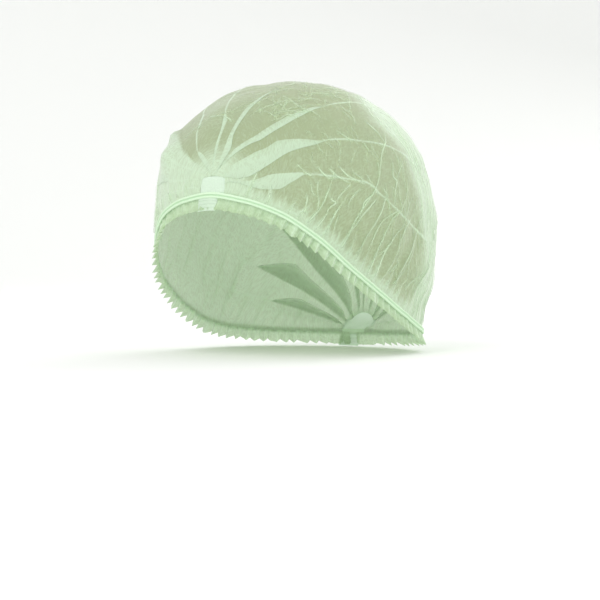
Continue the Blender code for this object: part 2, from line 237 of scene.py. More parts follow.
# %% Pleats: folded edge (along, share across) and tuck (along, mm)
LEFT_PLEATS = (
    (((0, .06), (.02, .14), (.052, .173), (.088, .10), (.14, .08), (.163, .073), (.21, .072),
      (.28, .095), (.5, .11), (.8, .08), (1, .05)),
     ((0, 1), (.03, 5), (.052, 6), (.088, 5.6), (.14, 5), (.17, 3.2), (.24, 1.4), (.31, 0), (.74, 0),
      (.84, 6), (.94, 8), (1, 1))),
    (((0, .12), (.03, .22), (.06, .30), (.085, .345), (.11, .385), (.20, .37), (.30, .34), (.43, .33),
      (.6, .34), (.8, .33), (1, .18)),
     ((0, 0), (.03, 2.2), (.06, 3.4), (.085, 4), (.115, 5.2), (.17, 5.2), (.23, 3), (.29, 0), (.70, 0),
      (.82, 12), (.92, 16), (1, 1))),
    (((0, .44), (.03, .67), (.055, .703), (.095, .645), (.147, .58), (.208, .555), (.238, .537),
      (.34, .53), (.47, .54), (.65, .55), (.85, .52), (1, .42)),
     ((0, 3), (.03, 13), (.055, 17), (.085, 17), (.118, 12.5), (.175, 6.5), (.25, 0), (.68, 0),
      (.80, 15), (.90, 17), (1, 2))),
    (((0, .64), (.03, .76), (.06, .845), (.083, .867), (.115, .853), (.147, .783), (.177, .727),
      (.24, .72), (.32, .71), (.36, .73), (.45, .77), (.7, .76), (.9, .73), (1, .62)),
     ((0, 1), (.03, 2.4), (.06, 5), (.083, 8), (.115, 9.7), (.147, 5.5), (.185, 0), (.72, 0), (.83, 13),
      (.93, 12), (1, 1.5))),
)
RIGHT_PLEATS = (
    (((0, .04), (.018, .077), (.052, .087), (.095, .075), (.13, .095), (.25, .15), (.6, .16), (1, .08)),
     ((0, 1), (.03, 5), (.052, 7), (.095, 7.5), (.125, 3.5), (.165, 0), (.74, 0), (.84, 6), (.94, 8), (1, 1))),
    (((0, .16), (.03, .30), (.06, .36), (.10, .34), (.14, .32), (.18, .31), (.25, .31), (.6, .34), (1, .22)),
     ((0, 1), (.03, 3.2), (.05, 3.2), (.075, 0), (.12, 0), (.145, 2), (.18, 2), (.21, 0), (.70, 0), (.82, 12),
      (.92, 13), (1, 1))),
    (((0, .30), (.033, .52), (.068, .60), (.095, .62), (.16, .62), (.23, .60), (.3, .58), (.6, .56),
      (.85, .54), (1, .46)),
     ((0, 0), (.68, 0), (.80, 15), (.90, 16), (1, 2))),
    (((0, .60), (.06, .76), (.14, .79), (.3, .76), (.7, .76), (1, .68)),
     ((0, 0), (.10, 0), (.15, 6), (.21, 0), (.72, 0), (.83, 14), (.93, 12), (1, 1.5))),
    (((0, .80), (.06, .89), (.14, .90), (.3, .89), (.7, .88), (1, .84)),
     ((0, 0), (.78, 0), (.87, 7), (.95, 6), (1, 1))),
)
FLAP_EDGE = ((0, .05), (.01, .20), (.033, .40), (.068, .477), (.095, .493), (.16, .493), (.25, .485), (1, .48))
LAYER = 0.12 * MM
HAIR = 0.5 * MM
ROWS = 317


def half_path(pleats, along, bare, hem):
    """One half of every line across, from the middle out to the edge, as columns: the share
    across, the depth, how many layers lie there and how near a folded edge it is. Each pleat adds
    four runs: bare cloth, cloth over the tuck, back under the fold, and forward again."""
    width = half_width(along)
    none = np.zeros_like(along)
    hair = HAIR * (0.4 + 0.6 * ease(along, 0.03, 0.12) * ease(1 - along, 0.03, 0.12)) / width
    shares, depths, layers, edges = [none], [none], [none], [none]

    def run(count, target, depth, layer_from, layer_to, edge_from, edge_to, slow=1.0):
        t = np.linspace(0, 1, count + 1)[1:, None]
        shares.extend(shares[-1] + (target - shares[-1]) * t**slow)
        depths.extend(depths[-1] + (depth - depths[-1]) * ease(t, 0, 1))
        layers.extend(layer_from + (layer_to - layer_from) * t)
        edges.extend(edge_from + (edge_to - edge_from) * t)

    here = none
    for edge_table, tuck_table in pleats:
        edge = through(edge_table, along)
        room = 0.7 * (edge - here) - 3 * hair
        tuck = np.clip(through(tuck_table, along) * MM / width, 0, np.maximum(room, 0))
        folded = ease(tuck * width, 0.6 * MM, 2.4 * MM)
        fan = ease(tuck * width, 0.6 * MM, 2.2 * MM)
        bright = 1.0 - 0.35 * folded + 0.2 * np.sin(along * 61 + 9 * edge[0])
        start = edge - np.maximum(tuck, 2 * hair)
        run(bare, start, none, none, none, none, none)
        run(1, start + 0.4 * hair, none, none, 0.72 * fan, none, 0.2 * bright * (1 - folded))
        run(4, edge - 0.5 * hair, none, 0.72 * fan, 0.85 * fan, 0.1 * bright, 0.45 * bright, 0.7)
        run(1, edge, 0.4 * LAYER * folded, 0.85 * fan, fan, 0.45 * bright, bright)
        run(2, edge - tuck + 2 * hair * (1 - folded), 1.9 * LAYER * folded, fan, fan, bright, 0.2 * bright)
        run(2, np.maximum(edge, shares[-1]) + hair, 2 * LAYER * folded, fan, none, 0.2 * bright, none)
        here = edge
    run(hem, none + 1, none, none, none, none, none)
    return [np.stack(x, 1) for x in (shares, depths, layers, edges)]


along = np.linspace(0, 1, ROWS)
left, right = half_path(LEFT_PLEATS, along, 25, 42), half_path(RIGHT_PLEATS, along, 11, 25)
ACROSS = np.concatenate([-right[0][:, :0:-1], left[0]], 1)
DEPTH, LAYERS, FOLD_EDGE = [np.concatenate([b[:, :0:-1], a], 1) for a, b in list(zip(left, right))[1:]]
ALONG = np.broadcast_to(along[:, None], ACROSS.shape)
print("crown grid", ACROSS.shape)

# %% [markdown]
# ## Gathers and creases
# The elastic draws each long edge of the strip, 340 mm of cloth, into less than 290 mm of band, so
# fine wrinkles rise from it.
# Pairs of wrinkles join as they rise, like the veins of a leaf. Each set of wrinkles is one row of
# sharp crests, and every second crest of a set is a crest of the next, coarser one.

# %% Wrinkles
GATHERS = 41


def ripple(x, y, seed):
    """Smooth noise between about -1 and 1: six sine waves of different ways and lengths."""
    dice = np.random.default_rng(seed)
    way, size, phase = dice.uniform(0, 2 * np.pi, 6), dice.uniform(0.6, 1.6, 6), dice.uniform(0, 6, 6)
    total = sum(np.sin(f * (x * np.cos(w) + y * np.sin(w)) + p) for w, f, p in zip(way, size, phase))
    return total / 3


def lot_of(number, seed):
    """A lot between 0 and 1 for each whole number, the same on each run."""
    return np.modf(np.abs(np.sin(number * 12.9898 + seed * 78.233)) * 43758.5453)[0]


def crests(phase, seed, least=0.25):
    """Sharp crests at whole numbers of the phase, each of its own height: the distance to the
    nearest whole number, turned over and raised to a power."""
    number = np.round(phase)
    return (1 - 2 * np.abs(phase - number)) ** 2.4 * (least + (1 - least) * lot_of(number, seed))


def wander(along, across):
    """How far the crests stray along the strip on their way up."""
    x, y = along * 336, across * half_width(along) / MM
    up = (1 - np.abs(across)) * half_width(along) / MM
    return (0.012 * ripple(x / 14, y / 10, 3) + 0.007 * ripple(x / 5, y / 6, 4)) * ease(up, 0, 20)


def relief(along, across):
    """How far the wrinkles stand out of the smooth cloth, in millimetres, and the finest set of
    crests alone, 0 to 1."""
    width = half_width(along)
    up = (1 - np.abs(across)) * width / MM
    x, y = along * 336, across * width / MM
    side = np.where(across < 0, 1.0, 0.0)
    drawn = (1 - side) * ease(along, 0.05, 0.12) * (1 - ease(along, 0.48, 0.60))
    place = along - 0.0010 * up + wander(along, across)
    height = 0
    for count, low, peak, high, rise in ((41, -1, 3, 22, 1.5), (20.5, 3, 14, 60, 1.2), (10.25, 14, 40, 120, 1.0)):
        crest = crests(place * count + 0.25 * side, count, 0.15)
        fade = ease(up, low, peak) * (1 - ease(up, peak, high)) ** 1.3
        height = height + rise * fade * (crest - 0.3)
        streak = np.maximum(crest, 0.7 * crests(place * 82 + 0.3, 82, 0.1)) if count == 41 else streak
    for pitch, slant, seed, rise in ((9.0, 0.9, 11, 0.45), (12.0, -0.7, 12, 0.5), (7.0, 0.25, 13, 0.3)):
        crest = crests((x + slant * y) / pitch + 1.3 * ripple(x / 22, y / 22, seed), seed, 0.0)
        patch = ease(ripple(x / 16, y / 12, seed + 40), 0.05, 0.5) * ease(along, 0.06, 0.2)
        height = height + rise * patch * ease(up, 20, 45) * (1 - 0.6 * drawn) * crest
    slack = 1.3 * ripple(x / 30, y / 26, 21) + 0.7 * ripple(x / 9, y / 8, 22) + 0.22 * ripple(x / 3, y / 3.4, 23)
    height = height + slack * ease(up, 8, 40) * ease(along, 0.02, 0.15) * ease(1 - along, 0.02, 0.15)
    in_fan = 1 - ease(along, 0.10, 0.30) * ease(1 - along, 0.10, 0.34)
    return height * (1 - 0.8 * in_fan * ease(up, 6, 16)), streak


# %% [markdown]
# The cloth doesn't fill the block evenly. A flap stands off the brow at the right in two lobes, the
# top is fuller on the left, and the elastic draws the cloth in just above the band.

# %% The top layer
def hill(along, across, a0, c0, a_size, c_size):
    return np.exp(-(((along - a0) / a_size) ** 2) - ((across - c0) / c_size) ** 2)


def skin(along, across):
    """Points of the top layer, the way out, the finest crests and the share of the side that hangs
    loose at the right: the smooth cloth, moved out by wrinkles, flap and slack."""
    out = cloth_out(along, across)
    wrinkle, streak = relief(along, across)
    tight = 0.2 + 0.8 * ease(along, 0, 0.05) * ease(1 - along, 0, 0.05)
    past_flap = (-across - through(FLAP_EDGE, along)) * half_width(along)
    soft = 22 * MM * ease(along, 0.19, 0.34)
    far_side = ease(past_flap, -0.2 * MM - soft, 0.6 * MM + soft)
    on_flap = far_side * (1 - ease(along, 0.225, 0.26))
    lobes = 3.6 * hill(along, across, .222, -.50, .028, .055) + 4.2 * hill(along, across, .165, -.62, .045, .085)
    full = (3.0 * hill(along, across, .33, .30, .09, .2) - 2.6 * hill(along, across, .55, .70, .07, .15)
            + 1.4 * hill(along, across, .69, .66, .06, .12)
            - 2.4 * hill(0, np.abs(across), 0, .93, 1, .05) * ease(along, 0.3, 0.55))
    height = wrinkle * tight - 0.9 + (lobes + 0.7 * tight) * on_flap + full * tight
    return cloth(along, across) + out * (height * MM)[..., None], out, streak, far_side


# %% [markdown]
# Between the pleats the photograph shows single creases: short ones that run into a pleat like the
# barbs of a feather, and longer ones that climb from the band. Each is a path on the strip, with its
# strength first.

# %% Single creases
CREASES = (
    (0.7, ((.225, .153), (.217, .303), (.230, .377))),
    (0.7, ((.147, .290), (.165, .320), (.182, .320), (.198, .387))),
    (0.5, ((.275, .290), (.318, .280), (.370, .263))),
    (0.5, ((.280, .323), (.292, .370))),
    (0.55, ((.400, .343), (.460, .363), (.470, .457), (.487, .557))),
    (0.5, ((.385, .303), (.473, .320), (.470, .433), (.510, .560), (.542, .653))),
    (0.5, ((.318, .383), (.315, .467))),
    (0.9, ((.343, .433), (.365, .467), (.375, .487), (.388, .537))),
    (0.7, ((.260, .490), (.278, .523), (.297, .543))),
    (0.5, ((.152, -.033), (.180, .033), (.220, .090))),
    (0.8, ((.150, -.237), (.135, -.100), (.115, .020))),
    (0.5, ((.160, .120), (.163, .307))),
    (0.5, ((.198, .140), (.193, .280))),
    (0.45, ((.253, .190), (.258, .330), (.268, .393))),
    (0.45, ((.290, .210), (.300, .313), (.333, .373))),
    (0.4, ((.228, .210), (.188, .260), (.147, .313))),
    (0.4, ((.333, .230), (.370, .287), (.420, .313))),
    (0.5, ((.193, .600), (.190, .650))),
    (0.45, ((.225, .590), (.220, .650))),
    (0.6, ((.260, .583), (.250, .653))),
    (0.5, ((.302, .573), (.283, .643))),
    (0.5, ((.330, .570), (.325, .630))),
    (0.6, ((.355, .610), (.352, .673))),
    (0.9, ((.398, .583), (.400, .650), (.413, .663), (.410, .707), (.410, .750), (.427, .773))),
    (0.7, ((.440, .563), (.420, .623), (.413, .663))),
    (0.8, ((.155, .670), (.175, .723), (.190, .743))),
    (0.9, ((.198, .677), (.210, .713), (.233, .737), (.245, .733))),
    (0.9, ((.223, .680), (.245, .717), (.283, .733))),
    (0.9, ((.245, .663), (.275, .703), (.318, .723))),
    (0.7, ((.285, .677), (.318, .713))),
    (0.8, ((.320, .677), (.345, .730), (.362, .743))),
    (0.5, ((.375, .690), (.378, .720))),
    (0.8, ((.208, .743), (.200, .780), (.203, .827), (.208, .847), (.210, .913))),
    (0.9, ((.177, .837), (.182, .883), (.182, .953))),
    (0.7, ((.182, .757), (.190, .823), (.208, .847))),
    (0.9, ((.228, .807), (.238, .833), (.250, .840), (.235, .887), (.235, .930))),
    (0.8, ((.283, .733), (.260, .793), (.250, .833))),
    (0.7, ((.310, .737), (.285, .800), (.280, .847))),
    (0.9, ((.348, .740), (.318, .803), (.320, .860), (.310, .903))),
    (0.9, ((.362, .743), (.330, .827), (.315, .883), (.297, .937))),
    (0.8, ((.427, .763), (.385, .830), (.378, .873), (.375, .933))),
    (0.7, ((.450, .700), (.450, .747), (.455, .787))),
    (0.8, ((.487, .670), (.463, .740), (.465, .783), (.443, .837), (.430, .887), (.400, .930))),
    (0.8, ((.537, .810), (.525, .873), (.515, .920), (.485, .967))),
    (0.7, ((.492, .893), (.465, .947))),
    (0.7, ((.603, .863), (.547, .947))),
    (0.7, ((.355, .880), (.350, .927), (.340, .967))),
    (0.6, ((.550, .687), (.535, .773), (.535, .813))),
    (0.5, ((.135, .960), (.147, 10))),
    (0.7, ((.265, .880), (.263, .923), (.265, .953))),
    (0.7, ((.360, .360), (.445, .483), (.515, .633), (.600, .830))),
    (0.6, ((.400, .350), (.490, .480), (.556, .630), (.628, .820))),
    (0.5, ((.430, .300), (.535, .470), (.605, .630), (.655, .800))),
    (0.6, ((.300, .215), (.345, .245), (.400, .268), (.470, .300))),
    (0.5, ((.240, .240), (.300, .262), (.350, .285), (.430, .330))),
    (0.5, ((.480, .420), (.540, .540), (.580, .700), (.610, .900))),
)


STEPS = 40


def along_path(path):
    """The along and across shares at even steps of a path through a few points."""
    a, c = np.array(path, float).T
    length = np.concatenate([[0], np.cumsum(np.hypot(np.diff(a) * 336, np.diff(c) * 170))])
    even = np.linspace(0, length[-1], STEPS)
    return through(np.stack([length, a], 1), even), through(np.stack([length, c], 1), even)


def gather_paths(count, side, low, high, seed, steps):
    """Crests that climb from the band: where the phase of the wrinkles is a whole number, found by
    putting the strayed place back in a few times."""
    number = np.arange(1, int(count))[:, None]
    lot = lot_of(number, seed)
    start = (number - 0.25 * (side < 0)) / count
    high = high * (0.45 + 0.55 * lot) * (0.3 + 0.7 * ease(start, 0.12, 0.3) * ease(1 - start, 0.06, 0.25))
    high = np.minimum(high, 0.7 * half_width(start) / MM)
    up = low + np.maximum(high - low, 3) * np.linspace(0, 1, steps)
    along = start + 0 * up
    for _ in range(6):
        across = side * (1 - up * MM / half_width(along))
        along = np.clip(start + 0.0010 * up - wander(along, across), 0.004, 0.996)
    return along, across, (0.25 + 0.75 * lot[:, 0]) * ease(lot[:, 0], 0.1, 0.3)


def scattered_paths(count, seed, a_range, c_range, slant, length):
    """Short bent creases of nearly one slant, scattered by a seeded lot."""
    dice = np.random.default_rng(seed)
    t = np.linspace(-0.5, 0.5, 16)
    a0, c0 = dice.uniform(*a_range, (count, 1)), dice.uniform(*c_range, (count, 1))
    way = slant + dice.normal(0, 0.13, (count, 1))
    run = dice.uniform(*length, (count, 1)) * t
    bend = dice.normal(0, 1.6, (count, 1)) * (t * t * 4 - 0.5) + 0.4 * np.sin(t * 17 + a0 * 900)
    along = a0 + (run * np.cos(way) - bend * np.sin(way)) / 336
    across = c0 + (run * np.sin(way) + bend * np.cos(way)) / 170
    return along, across, dice.uniform(0.2, 0.65, count)


# %% [markdown]
# ## The crown
# Now the strip is put together: the smooth cloth, less the depth of its layer, plus the wrinkles.
# It is one open sheet, as the real one is, and not a shell with a thick wall.

# %% Put points into a mesh
def grid_piece(name, points, across_closed=False, along_closed=False, values=None, uv=None):
    """A mesh from a grid of points: each cell becomes a four-sided face, seen from outside."""
    rows, columns = points.shape[:2]
    index = np.arange(rows * columns).reshape(rows, columns)
    if along_closed:
        index = np.concatenate([index, index[:1]], 0)
    if across_closed:
        index = np.concatenate([index, index[:, :1]], 1)
    faces = np.stack([index[:-1, :-1], index[:-1, 1:], index[1:, 1:], index[1:, :-1]], -1)
    return mesh_piece(name, points, faces, values, uv)


def mesh_piece(name, points, faces, values=None, uv=None):
    """A smooth mesh with its attributes and its flat map, one object at the origin."""
    faces = faces.reshape(-1, 4)
    mesh = bpy.data.meshes.new(name)
    mesh.from_pydata(points.reshape(-1, 3), [], faces)
    for key, value in (values or {}).items():
        spot = mesh.attributes.new(key, "FLOAT", "POINT")
        spot.data.foreach_set("value", np.ascontiguousarray(value, np.float32).ravel())
    if uv is not None:
        flat = np.ascontiguousarray(uv.reshape(-1, 2)[faces.ravel()], np.float32)
        mesh.uv_layers.new(name="cloth").data.foreach_set("uv", flat.ravel())
    mesh.polygons.foreach_set("use_smooth", np.ones(len(faces), bool))
    mesh.update()
    piece = bpy.data.objects.new(name, mesh)
    bpy.context.scene.collection.objects.link(piece)
    print(f"{name}: {2 * len(faces)} triangles")
    return piece


# %% The crown's sheet
FLAT_LENGTH, FLAT_WIDTH = 0.34, 0.384
HANGS_FREE = ((0, .60), (.2, .46), (.3, .40), (.417, .398), (.483, .445), (.633, .515), (.743, .573),
              (.787, .608), (1, .62))
top, out, streak, far_side = skin(ALONG, ACROSS)
points = top + out * (0.15 * MM * FOLD_EDGE - DEPTH)[..., None]
behind_band = band_frame(turn_at(along))[1] * BAND_HALF * 1.4
points = np.concatenate([points[:, :1] + (behind_band * [-1.0, 1.0, 1.0])[:, None], points,
                         points[:, -1:] + behind_band[:, None]], 1)
step = np.linalg.norm(np.diff(points, axis=1), axis=2)
measured = np.concatenate([np.zeros((ROWS, 1)), np.cumsum(step, 1)], 1)
uv = np.stack([along[:, None] * FLAT_LENGTH + 0 * measured, measured - measured[:, -1:] / 2], -1)
up_mm = (1 - np.abs(ACROSS)) * half_width(ALONG) / MM
near_weld = np.maximum(1 - ease(ALONG, 0.015, 0.085), 1 - ease(1 - ALONG, 0.01, 0.06))
puckers = 1 - ease(up_mm - 12 * streak, 0.5, 8)
free = ease(ALONG - through(HANGS_FREE, np.abs(ACROSS)), -0.06, 0.03)
loose = np.maximum(0.95 * free, 0.78 * far_side)
haze = 0.16 * ease(np.abs(ACROSS), 0.35, 0.8) + 0.25 * hill(ALONG, ACROSS, 0.19, -0.22, 0.09, 0.16)
dense = np.clip(LAYERS + 0.9 * near_weld + 0.72 * puckers + loose + haze, 0, 0.9)
under = DEPTH / (2 * LAYER) * LAYERS
dense, crease, under = [np.pad(x, ((0, 0), (1, 1)), mode="edge") for x in (dense, FOLD_EDGE, under)]
crown = grid_piece("crown_cloth", points, values={"layers": dense, "crease": crease, "under": under}, uv=uv)
crown.data.set_sharp_from_angle(angle=np.radians(70))

# %% [markdown]
# ## Creases
# A crease in thin cloth is a narrow fold that stands up and looks pale, because light meets more of
# it. A grid fine enough for such narrow folds would be very heavy, so each crease is a slim ridge of
# its own that lies on the crown and sinks into it at its sides and ends.

# %% Slim ridges
def ridge_set(along, across, strength):
    """Many paths at once. Each path carries a ridge of three points across, laid on the top layer
    point by point, whose width and shade fall to nothing at both ends of the path."""
    width = half_width(along) / MM
    run_a, run_c = np.gradient(along, axis=1) * 336, np.gradient(across, axis=1) * width
    length = np.maximum(np.hypot(run_a, run_c), 1e-6)
    t = np.linspace(0, 1, along.shape[1])
    taper = ease(t, 0, 0.25) * ease(1 - t, 0, 0.25) * (0.85 + 0.15 * np.sin(t * 9 + strength[:, None] * 40))
    taper = taper * strength[:, None] * ease(0.99 - np.abs(across), 0, 0.012)
    taper = taper * ease(along, 0.03, 0.07) * ease(1 - along, 0.03, 0.07)
    wide = (0.75 + 0.6 * taper)[..., None] * np.array([-1, 0, 1.0])
    a = np.clip(along[..., None] - (run_c / length)[..., None] * wide / 336, 0.01, 0.99)
    c = np.clip(across[..., None] + (run_a / length)[..., None] * wide / width[..., None], -0.99, 0.99)
    points, out, _, _ = skin(a, c)
    points = points + out * (0.6 * MM)
    index = np.arange(a.size).reshape(a.shape)
    faces = np.stack([index[:, :-1, :-1], index[:, 1:, :-1], index[:, 1:, 1:], index[:, :-1, 1:]], -1)
    shade = np.clip(taper * 1.1, 0, 1)[..., None] * np.array([0, 1.0, 0])
    flat = np.stack([a * FLAT_LENGTH, c * half_width(a)], -1)
    return points.reshape(-1, 3), faces.reshape(-1, 4), shade.ravel(), flat.reshape(-1, 2)


def ridge_piece(name, families):
    """All sets of ridges as one mesh."""
    parts = [ridge_set(*family) for family in families]
    first = np.cumsum([0] + [len(part[0]) for part in parts])
    points, _, shade, flat = [np.concatenate(x) for x in zip(*parts)]
    faces = np.concatenate([part[1] + start for part, start in zip(parts, first)])
    return mesh_piece(name, points, faces, {"layers": 0 * shade, "crease": shade}, flat)


sets = [(*along_path(path), strength) for strength, path in CREASES]
single = [np.stack(x) for x in list(zip(*sets))[:2]] + [np.array([s for _, _, s in sets])]
families = [single] + [gather_paths(*row[:1], side, *row[1:]) for side in (1, -1) for row in
                       ((41, -5, 30, 41, 16), (20.5, 0, 66, 20.5, 24), (10.25, 8, 110, 10.25, 40))]
families += [scattered_paths(*row) for row in (
    (56, 1, (.15, .46), (.04, .34), 0.55, (16, 36)), (40, 2, (.15, .44), (.08, .36), -0.9, (12, 28)),
    (36, 3, (.20, .55), (.34, .60), 1.1, (8, 24)), (50, 4, (.36, .66), (.50, .95), 0.9, (12, 36)),
    (40, 5, (.12, .55), (-.40, .08), 1.5, (10, 30)), (60, 6, (.30, .9), (-.95, -.2), 2.1, (14, 40)),
    (50, 7, (.60, .93), (.1, .95), 1.0, (14, 40)), (36, 8, (.45, .85), (-.5, .5), 0.2, (18, 46)))]
ridges = ridge_piece("crease_ridges", families)
ridges.visible_shadow = False

# %% [markdown]
# ## The elastic band
# Two thin elastic strands are caught in a narrow casing. The strands are tight and straight, so the
# casing looks like a smooth pale cord with two ridges that lies over the gathers. The groove between
# the ridges is dented, and shade is painted into it as a darker tint.

# %% The casing with its two ridges
def band_piece(name, profile, steps, ribs, shade):
    """A closed profile of (down, out) offsets carried all the way round the band."""
    turn = np.linspace(0, 2 * np.pi, steps, endpoint=False)
    turn = np.where(turn > np.pi, turn - 2 * np.pi, turn)
    point, down, out = band_frame(turn)
    rib = 1 + ribs * np.sin(turn * 280)[:, None, None]
    offset = down[:, None] * profile[:, :1] + out[:, None] * profile[:, 1:]
    points = point[:, None] + offset * rib
    return grid_piece(name, points, True, True, values={"groove": shade + 0 * points[..., 0]})


angle = np.linspace(0, 2 * np.pi, 40, endpoint=False)
low, high = np.cos(angle), np.sin(angle)
# Where the casing dips between the strands: this dents the profile, and the finish paints shade there.
groove = np.where(high > 0, np.exp(-((low / 0.28) ** 2)), 0)
profile = np.stack([-low * 1.75, np.sign(high) * np.abs(high) ** 0.7 * 0.85 - 0.55 * groove], 1)
elastic = band_piece("elastic_band", profile * MM, 900, 0.03, groove)

# %% [markdown]
# ## The frill
# Below the band the free edge of the cloth springs out in sharp accordion folds, whose corners make
# a row of small points.

# %% Accordion folds on each side
FRILL_HEIGHT = 7.4 * MM


def frill_piece(name, side):
    """Rows from the band down: a zigzag along the band that grows towards the hem."""
    along = np.linspace(-0.022, 1.022, GATHERS * 20 + 1)
    down_share = np.linspace(0, 1, 12)[:, None]
    stray = 0.25 * ripple(along * 60, side * 3.0 + 0 * along, 5) + 0.12 * ripple(along * 190, 0 * along, 6)
    phase = along * GATHERS + stray
    lot = lot_of(np.round(phase), 5 + side)
    tooth = phase - np.round(phase)
    tooth = np.where(tooth < 0.16, (tooth + 0.5) / 0.66, 1 - (tooth - 0.16) / 0.34) * 0.5
    calm = 0.35 + 0.65 * ease(along, 0.02, 0.16) * ease(1 - along, 0.0, 0.06)
    zigzag = (4 * tooth - 1) * calm
    point, down, out = band_frame(turn_at(along))
    wave = (0.6 + (1.2 + 0.6 * lot) * down_share) * MM * zigzag
    point_depth = (1.9 + 0.9 * lot) * MM * (1 - zigzag) / 2 * calm
    reach = BAND_HALF * 0.2 + (FRILL_HEIGHT + BAND_HALF - 0.4 * MM - point_depth) * down_share
    flare = (1.6 * down_share**1.5 - 1.3) * MM
    points = point + down * reach[..., None] + out * (wave + flare)[..., None]
    uv = np.stack([along * FLAT_LENGTH + 0 * down_share, down_share * FRILL_HEIGHT + 0 * along], -1)
    crease = np.abs(zigzag) ** 6 + 0 * down_share
    if side < 0:
        points = points * np.array([-1.0, 1.0, 1.0])
        points, uv, crease = points[:, ::-1], uv[:, ::-1], crease[:, ::-1]
    layers = 0.75 - 0.5 * down_share + 0 * along
    return grid_piece(name, points, values={"layers": layers, "crease": crease * 0.7}, uv=uv)


frill_left = frill_piece("frill_left", 1)
frill_right = frill_piece("frill_right", -1)

# %% [markdown]
# ## Welds and tails
# An ultrasonic horn presses the stack of pleats into one stiff pale patch. The end of the stack
# hangs below the band as a small folded tab.

# %% The two welds and the two tails
def turns_near(at_back, steps):
    """Band angles at signed lengths from the middle of the front or of the back."""
    length = BAND_LENGTHS[-1] - np.abs(steps) if at_back else np.abs(steps)
    return np.where(steps < 0, -1, 1) * np.interp(length, BAND_LENGTHS, TURNS)


def weld_piece(name, at_back):
    """A square with rounded corners, carried up from the band, that swells like a pillow and is
    pressed in small points."""
    a, b = np.linspace(-1, 1, 61)[:, None], np.linspace(0, 1, 61)[None]
    rim = 2 * b - 1
    wide, tall = a * (1 - 0.08 * rim**4), 0.5 + 0.5 * rim * (1 - 0.08 * a**4)
    point, down, out = band_frame(turns_near(at_back, wide * (11.2 if at_back else 8.6) * MM))
    top = cloth(float(at_back), 0.0) - (band(np.pi * at_back + 0.0) - down[30, 30] * BAND_HALF)
    base = point - down * BAND_HALF * 0.2 + top * (tall * (1.25 if at_back else 1.06))[..., None]
    pillow = (1 - a**6) * (1 - rim**6)
    emboss = 0.07 * np.sin(a * 38) * np.sin(b * 38)
    push = (1.1 * pillow + emboss * pillow - 0.6 + 1.0 * at_back * ease(rim, -1, -0.5)) * MM
    points = base + out * push[..., None]
    uv = np.stack([a * 0.0085 + 0 * b, b * 0.012 + 0 * a], -1)
    return grid_piece(name, points, values={"layers": 1 + 0 * push, "crease": 0 * push}, uv=uv)


def tail_piece(name, at_back):
    """The end of the stack: three layers that stop one below the other, a little askew."""
    a, b = np.linspace(-1, 1, 49)[:, None], np.linspace(0, 1, 41)[None]
    shift = -(2.3 + 1.9 * b)
    point, down, out = band_frame(turns_near(at_back, (a * 7.3 + shift) * MM))
    reach = (1.0 + 8.4 * b) * MM
    stair = np.floor(b * 3.999) - b * 3.6
    bend = 0.35 * np.sin(a * 7 + 2 * b)
    push = (0.1 - 0.34 * stair + bend * 0.4 * b - 0.5 * np.abs(a) ** 8) * MM
    points = point + down * reach[..., None] + out * push[..., None]
    uv = np.stack([a * 0.0066 + 0 * b, b * 0.0086 + 0 * a], -1)
    return grid_piece(name, points, values={"layers": 1 + 0 * push, "crease": 0 * push}, uv=uv)


front_weld, back_weld = weld_piece("weld_front", False), weld_piece("weld_back", True)
front_tail, back_tail = tail_piece("tail_front", False), tail_piece("tail_back", True)

# %% [markdown]
# ## Finishes
# Spunbond polypropylene is a mat of fine fibres, bonded in a small dot pattern. One layer lets
# light and colour through; several layers, or a fold seen on edge, look pale and dense.

# %% Colour and node helpers
def colour(hex_code):
    """sRGB hex to linear, as Blender's sockets take it."""
    value = np.array([int(hex_code[i:i + 2], 16) for i in (1, 3, 5)]) / 255
    return (*np.where(value <= 0.04045, value / 12.92, ((value + 0.055) / 1.055) ** 2.4).tolist(), 1.0)


def node(tree, kind, settings=None, **inputs):
    """Adds one node, sets its settings, and fills or links its inputs; names use _ for a space."""
    made = tree.nodes.new(kind)
    for key, value in (settings or {}).items():
        setattr(made, key, value)
    for key, value in inputs.items():
        socket = made.inputs[int(key[1:])] if key[1:].isdigit() else made.inputs[key.replace("_", " ")]
        if isinstance(value, bpy.types.NodeSocket):
            tree.links.new(value, socket)
        else:
            socket.default_value = value
    return made


